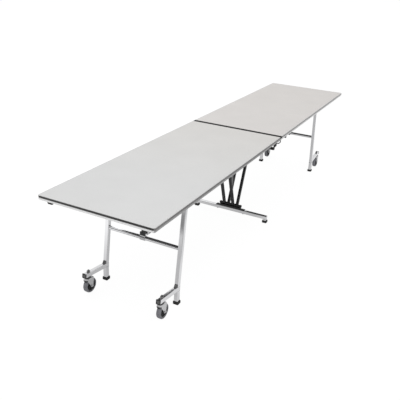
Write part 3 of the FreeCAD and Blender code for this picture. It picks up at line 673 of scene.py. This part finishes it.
def row_tree():
    """Repeat an object in a straight row along Y."""
    grower = Grower("row", Ring="Object", Count="Int", Step="Float")
    step = grower.node("ShaderNodeCombineXYZ", inputs={"Y": grower["Step"]})
    row = grower.node("GeometryNodeMeshLine", inputs={"Count": grower["Count"], "Offset": step})
    grower.plant(Points=row, Instance=grower.copied("Ring"))
    return grower


# Small shapes that the trees repeat

def drop(spare):
    """Remove an object once its copies are made."""
    mesh = spare.data
    bpy.data.objects.remove(spare)
    bpy.data.meshes.remove(mesh)


def screw_head(radius, height):
    """Pan head that points down, with a cross recess."""
    work = bmesh.new()
    profile = [(radius, 0.0), (radius, -height * 0.35), (radius * 0.86, -height * 0.8),
               (radius * 0.55, -height), (radius * 0.16, -height * 0.98)]
    rings = []
    for ring_radius, z in profile:
        ring = round_ring(ring_radius, z, 16)
        if ring_radius < radius * 0.6:
            for point in ring[::4]:
                point.z += height * 0.55
        rings.append([work.verts.new(point) for point in ring])
    for upper, lower in zip(rings, rings[1:]):
        bridge(work, upper, lower)
    work.faces.new(rings[0])
    work.faces.new(rings[-1])
    return new_object("screw_head", mesh_from(work))


def hub_rib(length, width, thickness):
    """Rib along X whose long edges are rounded off."""
    work = bmesh.new()
    bmesh.ops.create_cube(work, size=1.0, matrix=Matrix.Diagonal((length, thickness, width, 1.0)))
    bmesh.ops.bevel(work, geom=list(work.edges), offset=thickness * 0.3, segments=2, profile=0.5,
                    affect="EDGES", clamp_overlap=True)
    return new_object("hub_rib", mesh_from(work))


def grip_ring(inner, outer, width):
    """Rounded ring about Y."""
    work = bmesh.new()
    profile = []
    steps = 6
    for step in range(steps + 1):
        angle = math.pi * step / steps
        radius = inner + (outer - inner) * math.sin(angle)
        profile.append((radius, -width / 2 * math.cos(angle)))
    profile += [(inner - 0.0006, width / 2), (inner - 0.0006, -width / 2)]
    lathe(work, profile, 28, Matrix.Rotation(math.pi / 2, 4, "X"))
    return new_object("grip_ring", mesh_from(work))


# Settings that a user may change

COLOUR = {"subtype": "COLOR", "size": 4}


class TopSettings(bpy.types.PropertyGroup):
    near_colour: bpy.props.FloatVectorProperty(
        name="Near Laminate", description="Colour of the near half top",
        default=(0.690, 0.692, 0.690, 1.0), **COLOUR)
    far_colour: bpy.props.FloatVectorProperty(
        name="Far Laminate", description="Colour of the far half top",
        default=(0.728, 0.699, 0.674, 1.0), **COLOUR)
    upper_strip: bpy.props.FloatProperty(
        name="Upper Strip", description="Height of the dark strip of the edge moulding",
        unit="LENGTH", default=0.013)
    strip_colour: bpy.props.FloatVectorProperty(
        name="Strip", description="Colour of the upper strip",
        default=(0.029, 0.028, 0.028, 1.0), **COLOUR)
    # Near white, partly as the lip's own pale plastic and partly as a painted highlight for the
    # brightly lit near end.
    lip_colour: bpy.props.FloatVectorProperty(
        name="Lip", description="Colour of the rounded lower lip",
        default=(0.95, 0.95, 0.95, 1.0), **COLOUR)


class FrameSettings(bpy.types.PropertyGroup):
    chrome: bpy.props.FloatVectorProperty(
        name="Chrome", description="Colour of the plated tubes",
        default=(0.88, 0.88, 0.895, 1.0), **COLOUR)
    zinc: bpy.props.FloatVectorProperty(
        name="Zinc", description="Colour of the plated fittings",
        default=(0.72, 0.72, 0.73, 1.0), **COLOUR)
    black: bpy.props.FloatVectorProperty(
        name="Powder Coat", description="Colour of the coated steel",
        default=(0.016, 0.016, 0.018, 1.0), **COLOUR)
    rubber: bpy.props.FloatVectorProperty(
        name="Rubber", description="Colour of the rubber pieces",
        default=(0.022, 0.022, 0.022, 1.0), **COLOUR)
    bead: bpy.props.FloatProperty(
        name="Weld Bead", description="Radius of the weld beads", unit="LENGTH", default=0.0016)
    screw: bpy.props.FloatProperty(
        name="Screw Head", description="Radius of the screw heads", unit="LENGTH", default=0.0042)


class CasterSettings(bpy.types.PropertyGroup):
    tread: bpy.props.FloatVectorProperty(
        name="Tread", description="Colour of the tyres",
        default=(0.235, 0.237, 0.258, 1.0), **COLOUR)
    hub: bpy.props.FloatVectorProperty(
        name="Hub", description="Colour of the wheel centres",
        default=(0.070, 0.070, 0.072, 1.0), **COLOUR)
    spokes: bpy.props.IntProperty(
        name="Spokes", description="Ribs in each wheel centre", default=8, min=3)


class StageSettings(bpy.types.PropertyGroup):
    lens: bpy.props.FloatProperty(
        name="Lens", description="Focal length of the camera in millimetres", default=49.23)
    sky: bpy.props.FloatProperty(
        name="Sky", description="Strength of the light from all round", default=0.62)
    key: bpy.props.FloatProperty(
        name="Key Light", description="Power of the large lamp", unit="POWER", default=125.0)


# Operators

class TABLE_OT_stage(bpy.types.Operator):
    """Pale floor, soft studio light and the camera"""

    bl_idname = "folding_table.stage"
    bl_label = "Studio"

    def execute(self, context):
        settings = context.scene.table_stage
        self.floor()
        self.world(context, settings.sky)
        self.lamp("key_lamp", (-3.0, -1.5, 6.5), settings.key)
        self.lamp("fill_lamp", (3.0, 3.5, 6.0), settings.key * 0.6)
        self.camera(context, settings.lens)
        context.scene.view_settings.view_transform = "Standard"
        return {"FINISHED"}

    def sights(self, network):
        """Whether a ray shows the background itself, and whether it mirrors it."""
        camera, through, glossy = (
            network.node("ShaderNodeLightPath", output=name)
            for name in ("Is Camera Ray", "Is Transmission Ray", "Is Glossy Ray"))
        return camera.most(through), glossy

    def floor(self):
        """Floor that shows white and gives the metal bright and dark panels to mirror."""
        corners = [(x * 30.0, y * 30.0, 0) for x, y in ((-1, -1), (1, -1), (1, 1), (-1, 1))]
        floor = new_object("floor", plain_mesh(corners, faces=[(0, 1, 2, 3)]))
        finish = Finish("studio_floor")
        finish.set("Base Color", grey(0.86))
        finish.set("Roughness", 0.9)
        clear, mirrored = self.sights(finish)
        # What the metal mirrors: bright panels at the left and past the end, a darker one at
        # the right, and a dark patch beyond the near end
        x, y = finish.axis("X"), finish.axis("Y")
        left = finish.between(y, 0.2, 1.0)
        end = finish.between(x, 1.5, 3.5)
        under = finish.between(y, -0.2, -0.4)
        right = finish.between(y, -0.8, -1.1)
        across, along = x + 3.5, y - 0.55
        patch = finish.between(across * across + along * along, 0.5, 0.1)
        panel = 0.52 + 0.48 * left.most(end) + 0.28 * under - 0.5 * right
        panel = panel * (1 - 0.75 * patch)
        white = 1.06
        strength = white - mirrored * (white - panel)
        glow = finish.node("ShaderNodeEmission", inputs={"Color": grey(1.0), "Strength": strength})
        finish.overlay(clear.most(mirrored) * 0.9, glow)
        floor.data.materials.append(finish.material)

    def world(self, context, sky):
        """Even light for surfaces, white behind, and a softly graded room for the metal."""
        world = bpy.data.worlds.new("studio")
        world.use_nodes = True
        context.scene.world = world
        room = Network(world.node_tree)
        direction = room.node("ShaderNodeTexCoord", output="Generated")
        graded = 0.66
        for axis, start, full in (("X", -0.15, -0.6), ("Z", 0.6, 0.4)):
            share = room.node("ShaderNodeSeparateXYZ", inputs={0: direction}, output=axis)
            graded = graded * room.node(
                "ShaderNodeMapRange", {"interpolation_type": "SMOOTHSTEP"},
                {"Value": share, "From Min": start, "From Max": full})
        clear, mirrored = self.sights(room)
        strength = sky + mirrored * (0.78 - graded - sky)
        inputs = world.node_tree.nodes["Background"].inputs
        room.feed(inputs["Color"], grey(1.0))
        room.feed(inputs["Strength"], strength + clear * (1 - strength))

    def lamp(self, name, place, power):
        light = bpy.data.lights.new(name, "AREA")
        light.energy = power
        light.size = 5.0
        lamp = new_object(name, light)
        lamp.location = place
        aim = Vector((0.0, 0.0, 0.5)) - Vector(place)
        lamp.rotation_euler = aim.to_track_quat("-Z", "Y").to_euler()

    def camera(self, context, focal_length):
        bearing, dip, roll = CAMERA_TURN
        place = Matrix.Translation(CAMERA_PLACE)
        for angle, axis in ((bearing - 90.0, "Z"), (90.0 - dip, "X"), (-roll, "Z")):
            place = place @ Matrix.Rotation(math.radians(angle), 4, axis)
        lens = bpy.data.cameras.new("camera")
        lens.lens = focal_length
        camera = new_object("camera", lens)
        camera.matrix_world = place
        context.scene.camera = camera


class TABLE_OT_tops(bpy.types.Operator):
    """Laminate faces and boards of both half tops"""

    bl_idname = "folding_table.tops"
    bl_label = "Tops"

    def execute(self, context):
        board = board_finish("backed_board")
        for half in HALVES:
            colour = getattr(context.scene.table_top, half + "_colour")
            laminate = laminate_finish(half + "_laminate", colour, SEAM_TINTS[half])
            coat_node(half + "_top_laminate", laminate)
            coat_node(half + "_top_board", board)
        return {"FINISHED"}


class TABLE_OT_moulding(bpy.types.Operator):
    """Two-part edge moulding round each half top"""

    bl_idname = "folding_table.moulding"
    bl_label = "Edge Moulding"

    def execute(self, context):
        settings = context.scene.table_top
        grower = moulding_tree()
        split = TABLE_TOP - settings.upper_strip
        for half in HALVES:
            strip = strip_finish(half + "_strip", settings.strip_colour, STRIP_SIDE_SHEEN[half])
            lip = lip_finish(half + "_lip", settings.lip_colour, LIP_SIDE_SHADE[half])
            # Lowest and highest point, inset, then the lower and the upper rounding
            parts = (("upper", strip, split, TABLE_TOP, 0.0, 0.0002, 0.0012),
                     ("lower", lip, UNDERSIDE, split - 0.0007, 0.0005, 0.005, 0.0006))
            for piece in [self.swept(grower, half, *part) for part in parts]:
                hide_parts(half + "_edge_band")
        return {"FINISHED"}

    def swept(self, grower, half, part, finish, low, high, inset, round_low, round_high):
        """One strip: a long run round the open sides and a narrow one at the seam."""
        box_low, box_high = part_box("near_edge_band")
        seam, end = box_high.x, box_low.x
        right, left = box_low.y, box_high.y
        runs = ((BAND_WIDTH, [(seam, left), (end, left), (end, right), (seam, right)]),
                (SEAM_BAND_WIDTH, [(seam, right + BAND_WIDTH), (seam, left - BAND_WIDTH)]))
        work = bmesh.new()
        for width, corners in runs:
            path = [half_turn(half) @ Vector((x, y, 0.0)) for x, y in corners]
            run = grower.on(
                path_mesh([path], closed=False), Plan_Corner=BAND_CORNER, Material=finish,
                Outer_Low=(-inset, -low, 0.0), Outer_High=(-inset, -high, 0.0),
                Inner_High=(-width, -high, 0.0), Inner_Low=(-width, -low, 0.0),
                Round_Low=min(round_low, width / 2), Round_High=min(round_high, width / 2))
            work.from_mesh(run)
            bpy.data.meshes.remove(run)
        name = "%s_%s_moulding" % (half, part)
        return add_piece(name, mesh_from(work), half + "_top", finish=finish)


class TABLE_OT_underside(bpy.types.Operator):
    """Rails, brackets, bumpers and their screws under the tops"""

    bl_idname = "folding_table.underside"
    bl_label = "Underside"

    def execute(self, context):
        settings = context.scene.table_frame
        coat = powder_finish("bracket_coat", settings.black)
        zinc = zinc_finish("pin_zinc", settings.zinc)
        rubber = rubber_finish("bumper_rubber", settings.rubber)
        screws = scatter_tree()
        head = screw_head(settings.screw, 0.0024)
        for half in HALVES:
            finish_node(half + "_stiffener_rails", coat)
            for group in ("leg", "hinge"):
                finish_node("%s_%s_brackets" % (half, group), coat, zinc, choose=self.is_pin)
            finish_node(half + "_rod_brackets", coat)
            finish_node(half + "_top_bumpers", rubber, bevel=0.0015)
            points = [half_turn(half) @ Vector(place) for place in self.screw_places()]
            mesh = screws.on(plain_mesh(points), Small_Object=head, Seed=SCREW_SEED, Material=zinc)
            add_piece(half + "_screws", mesh, half + "_top", finish=zinc)
        drop(head)
        return {"FINISHED"}

    def is_pin(self, low, high):
        """Number of the zinc for the pins, which are the slimmest solids."""
        return 1 if high.x - low.x < 0.02 else 0

    def screw_places(self):
        """Screws of the near half: rails, then leg, hinge and rod brackets."""
        places = []
        rail_z, plate_z = UNDERSIDE - 0.002, UNDERSIDE - 0.003
        for side in (1, -1):
            places += [(-1.206 + 0.174 * number, side * 0.2452, rail_z) for number in range(7)]
            for x, y, along, across in ((LEG_PIVOT_X, side * LEG_Y, 0.025, 0.026),
                                        (HINGE_X, side * 0.150, 0.019, 0.0125),
                                        (HINGE_X, side * 0.300, 0.019, 0.0125)):
                places += [(-x + step * along, y + turn * across, plate_z)
                           for step in (-1, 1) for turn in (-1, 1)]
        places += [(-ROD_TOP_X + along, y, plate_z)
                   for along in (-0.017, 0.017) for y in (-0.042, 0.0185, 0.079)]
        return places


class TABLE_OT_frames(bpy.types.Operator):
    """Chrome leg frames with their welds, caps, plugs and wedges"""

    bl_idname = "folding_table.frames"
    bl_label = "Leg Frames"

    def execute(self, context):
        settings = context.scene.table_frame
        chrome = chrome_finish("frame_chrome", settings.chrome)
        rubber = rubber_finish("cap_rubber", settings.rubber)
        wedge = rubber_finish("wedge_rubber", shaded(settings.rubber, 6.5))
        plastic = moulded_finish("plug_plastic", shaded(settings.rubber, 1.5), 0.45)
        centre = moulded_finish("plug_centre", grey(0.14), 0.5)
        zinc = zinc_finish("stud_zinc", grey(0.28), 0.4)
        dark = powder_finish("race_steel", grey(0.12))
        lug = lug_finish("lug_zinc", settings.zinc, settings.black)
        beads = bead_tree()
        for half in HALVES:
            for node in ("left_leg", "right_leg", "crossbar", "arms"):
                finish_node("%s_%s" % (half, node), chrome, bevel=0.0003)
            finish_node(half + "_caster_stems", zinc)
            finish_node(half + "_swivel_races", dark, bevel=0.0012)
            finish_node(half + "_leg_bumpers", wedge, bevel=0.001)
            finish_node(half + "_link_lug", lug, bevel=0.001)
            places = [half_turn(half) @ Matrix.Translation((-FOOT_X, y, 0.0))
                      for y in (LEG_Y, -LEG_Y)]
            add_caps(half + "_ribbed_caps", places, half + "_legs", half + "_foot_caps", rubber)
            self.plugs(half, plastic, centre)
            mesh = beads.on(path_mesh(self.weld_loops(half), closed=True), Step=0.0022,
                            Bead_Radius=settings.bead, Seed=BEAD_SEED, Material=chrome)
            add_piece(half + "_welds", mesh, half + "_legs", finish=chrome)
        return {"FINISHED"}

    def plugs(self, half, plastic, centre):
        """Plugs in the outer ends of the arms, with a lighter sunk centre."""
        work = bmesh.new()
        head = 0.005
        for y in (LEG_Y, -LEG_Y):
            end = Matrix.Translation((-ARM_OUTER_REACH - head, y, 0.0))
            outward = Matrix.Rotation(math.radians(-90.0), 4, "Y")
            plug_shape(work, lean_place(half) @ end @ outward)
        mesh = mesh_from(work)
        mesh.materials.append(plastic)
        mesh.materials.append(centre)
        add_piece(half + "_arm_plugs", mesh, half + "_legs",
                  (half + "_tube_plugs",))

    def weld_loops(self, half):
        """Closed paths where the tubes of one frame meet."""
        place = lean_place(half)
        crossbar_run = (CROSSBAR_HEIGHT - ARM_HEIGHT) / math.cos(LEAN)
        loops = []
        for side in (1, -1):
            for x, z in ((0.0, TUBE_HALF), (TUBE_HALF * math.tan(LEAN), -TUBE_HALF)):
                ring = square_ring(TUBE_HALF + 0.0002, 0.0035, z)
                loops.append([place @ (point + Vector((x, side * LEG_Y, 0.0))) for point in ring])
            y = side * (LEG_Y - TUBE_HALF - 0.0004)
            loops.append([place @ Vector((point.y, y, crossbar_run + point.x))
                          for point in round_ring(CROSSBAR_RADIUS, 0.0, 24)])
        return loops


def add_caps(name, places, body, node, rubber):
    """Square rubber caps with two grooves and a pocket for the tube, drawn in millimetres."""
    outline = [
        (16.5, 0), (18.4, 0.8), (19, 2.4), (19, 6.2), (18.4, 6.9), (18.4, 7.7), (19, 8.4),
        (19, 12.2), (18.4, 12.9), (18.4, 13.7), (19, 14.4), (18.9, 18), (18, 19.5), (16.8, 20),
        (14.6, 20), (14.1, 19.4), (14, 6),
    ]
    loops = [square_ring(half / 1000, min(0.005, half * 0.0003), z / 1000) for half, z in outline]
    work = bmesh.new()
    for place in places:
        loft(work, loops, place)
    add_piece(name, mesh_from(work), body, (node,), rubber)


def plug_shape(work, place):
    """Square plug, its rounded face at z = 0, its sunk centre in the second material."""
    outline = [
        (12.5, -19), (12.5, -5), (15, -5), (15.5, -4.4), (15.5, -1.6), (14.8, -0.4), (13.6, 0),
        (10.6, 0), (10, -0.6), (9.8, -2.4),
    ]
    before = set(work.faces)
    loops = [square_ring(half / 1000, half * 0.00022, z / 1000) for half, z in outline]
    loft(work, loops, place)
    outward = place.to_3x3() @ Vector((0.0, 0.0, 1.0))
    ends = [face for face in work.faces if face not in before and len(face.verts) > 4]
    front = max(ends, key=lambda face: face.calc_center_median().dot(outward))
    front.material_index = 1


class TABLE_OT_casters(bpy.types.Operator):
    """Forks, tyres and wheel centres of the four casters"""

    bl_idname = "folding_table.casters"
    bl_label = "Casters"

    def execute(self, context):
        settings = context.scene.table_casters
        metal = context.scene.table_frame
        zinc = zinc_finish("fork_zinc", metal.zinc, 0.28)
        rubber = rubber_finish("tab_rubber", metal.rubber)
        bolt = zinc_finish("axle_zinc", grey(0.42), 0.35)
        tread = tread_finish("tyre", settings.tread)
        hub = moulded_finish("wheel_centre", settings.hub, 0.42)
        ribs = spoke_tree()
        rib = hub_rib(0.020, 0.0235, 0.0022)
        for corner in ("near_left", "near_right", "far_left", "far_right"):
            finish_node(corner + "_fork", zinc, bolt, rubber, choose=self.fork_solid)
            self.wheel(corner, tread, hub, ribs, rib, settings.spokes)
        drop(rib)
        return {"FINISHED"}

    def fork_solid(self, low, high):
        """0 for the sheet fork, 1 for the axle bolt, 2 for the rubber tab."""
        size = high - low
        if size.z > 0.05:
            return 0
        return 1 if size.y > 0.03 else 2

    def wheel(self, corner, tread, hub, ribs, rib, spokes):
        """Tyre and wheel centre, both turned about the axle."""
        low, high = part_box(corner + "_tread")
        radius = (high.z - low.z) / 2
        half = (high.y - low.y) / 2
        inner = radius - 0.012
        place = Matrix.Translation((low + high) / 2) @ Matrix.Rotation(math.pi / 2, 4, "X")
        tyre = bmesh.new()
        lathe(tyre, tyre_profile(radius, inner, half), 72, place)
        add_piece(corner + "_tyre", mesh_from(tyre), corner + "_wheel",
                  (corner + "_tread",), tread)
        centre = bmesh.new()
        lathe(centre, hub_profile(inner, half), 72, place)
        spoke_mesh = ribs.on(plain_mesh([(0.0, 0.0, 0.0)]), Rib=rib, Count=spokes,
                             Radius=0.0235, Material=hub)
        spoke_mesh.transform(place)
        centre.from_mesh(spoke_mesh)
        bpy.data.meshes.remove(spoke_mesh)
        add_piece(corner + "_wheel_centre", mesh_from(centre), corner + "_wheel",
                  (corner + "_hub",), hub)


def both_sides(right):
    """Profile of (radius, height) points and its mirror image below."""
    return right + [(radius, -height) for radius, height in reversed(right) if height]


def tyre_profile(radius, inner, half):
    """Crowned tyre with a shallow step on each side."""
    return both_sides([
        (inner, half - 0.0015), (inner + 0.0035, half - 0.0012), (inner + 0.0042, half),
        (radius - 0.0055, half), (radius - 0.0028, half - 0.0012),
        (radius - 0.0009, half - 0.0038), (radius - 0.0002, half - 0.0075), (radius, 0.0)])


def hub_profile(outer, half):
    """Wheel centre with a rim, a sunk web and a boss on the axle."""
    rim = half - 0.003
    boss = half + 0.0016
    return both_sides([
        (0.0041, boss), (0.0108, boss), (0.0118, boss - 0.0009), (0.0124, 0.0042),
        (0.0140, 0.0026), (outer - 0.0062, 0.0026), (outer - 0.0046, 0.0042),
        (outer - 0.0040, rim - 0.0006), (outer - 0.0032, rim), (outer, rim)])


class TABLE_OT_hinge(bpy.types.Operator):
    """Hinge beam, post, release lever and pull loop at the seam"""

    bl_idname = "folding_table.hinge"
    bl_label = "Centre Hinge"

    def execute(self, context):
        settings = context.scene.table_frame
        wire = moulded_finish("dipped_wire", shaded(settings.black, 0.6), 0.75)
        plastic = moulded_finish("lever_plastic", shaded(settings.rubber, 0.8), 0.4)
        grip = rubber_finish("grip_rubber", settings.rubber, 0.3)
        finish_node("hinge_spine", powder_finish("beam_coat", settings.black))
        finish_node("centre_post", steel_finish("post_steel", grey(0.36)))
        finish_node("pull_loop", wire, bevel=0.0003)
        finish_node("release_lever", plastic)
        low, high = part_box("release_lever")
        radius = (high.x - low.x) / 2
        count, step = 20, 0.0062
        ring = grip_ring(radius - 0.0001, radius + 0.0011, 0.0058)
        mesh = row_tree().on(plain_mesh([(0.0, 0.0, 0.0)]), Ring=ring, Count=count, Step=step,
                             Material=grip)
        start = (low.y + high.y) / 2 - step * (count - 1) / 2
        mesh.transform(Matrix.Translation((0.0, start, low.z + radius)))
        add_piece("lever_grip_rings", mesh, "lever", finish=grip)
        drop(ring)
        return {"FINISHED"}


class TABLE_OT_links(bpy.types.Operator):
    """Fold links between the crossbars and the centre post"""

    bl_idname = "folding_table.links"
    bl_label = "Fold Links"

    def execute(self, context):
        settings = context.scene.table_frame
        coat = link_finish("link_coat", settings.black, settings.zinc)
        pin = zinc_finish("link_pin", grey(0.12), 0.4)
        for half in HALVES:
            finish_node(half + "_link", coat, pin, choose=self.link_solid)
        return {"FINISHED"}

    def link_solid(self, low, high):
        """0 for the long bar, 1 for its pins."""
        return 0 if high.x - low.x > 0.5 else 1


class TABLE_OT_base(bpy.types.Operator):
    """Centre base with its bracket, bolts and folding rods"""

    bl_idname = "folding_table.base"
    bl_label = "Centre Base"

    def execute(self, context):
        settings = context.scene.table_frame
        coat = powder_finish("rod_coat", settings.black)
        rubber = rubber_finish("foot_rubber", settings.rubber)
        finish_node("base_tube", chrome_finish("base_chrome", settings.chrome), bevel=0.0003)
        finish_node("base_bracket", coat)
        finish_node("base_bolts", zinc_finish("bolt_zinc", grey(0.30), 0.38))
        finish_node("near_rods", coat)
        finish_node("far_rods", coat)
        low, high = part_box("base_feet")
        places = [Matrix.Translation((0.0, y, 0.0)) for y in (low.y + CAP_HALF, high.y - CAP_HALF)]
        add_caps("base_ribbed_caps", places, "centre_base", "base_feet", rubber)
        return {"FINISHED"}


class TABLE_PT_panel(bpy.types.Panel):
    """Lists the steps and their settings"""

    bl_idname = "TABLE_PT_panel"
    bl_label = "Folding Table"
    bl_space_type = "VIEW_3D"
    bl_region_type = "UI"
    bl_category = "Folding Table"

    def draw(self, context):
        for operator in OPERATORS:
            self.layout.operator(operator.bl_idname)
        for group in SETTINGS:
            box = self.layout.box()
            settings = getattr(context.scene, group)
            for name in SETTINGS[group].__annotations__:
                box.prop(settings, name)


SETTINGS = {
    "table_top": TopSettings,
    "table_frame": FrameSettings,
    "table_casters": CasterSettings,
    "table_stage": StageSettings,
}
OPERATORS = (TABLE_OT_stage, TABLE_OT_tops, TABLE_OT_moulding, TABLE_OT_underside,
             TABLE_OT_frames, TABLE_OT_casters, TABLE_OT_hinge, TABLE_OT_links, TABLE_OT_base)


def register():
    for group in SETTINGS.values():
        bpy.utils.register_class(group)
    for operator in OPERATORS:
        bpy.utils.register_class(operator)
    bpy.utils.register_class(TABLE_PT_panel)
    for name, group in SETTINGS.items():
        setattr(bpy.types.Scene, name, bpy.props.PointerProperty(type=group))


def unregister():
    for name in SETTINGS:
        delattr(bpy.types.Scene, name)
    bpy.utils.unregister_class(TABLE_PT_panel)
    for operator in reversed(OPERATORS):
        bpy.utils.unregister_class(operator)
    for group in SETTINGS.values():
        bpy.utils.unregister_class(group)


def main():
    register()
    bpy.ops.folding_table.stage()
    bpy.ops.folding_table.tops()
    bpy.ops.folding_table.moulding()
    bpy.ops.folding_table.underside()
    bpy.ops.folding_table.frames()
    bpy.ops.folding_table.casters()
    bpy.ops.folding_table.hinge()
    bpy.ops.folding_table.links()
    bpy.ops.folding_table.base()


if __name__ == "__main__":
    main()
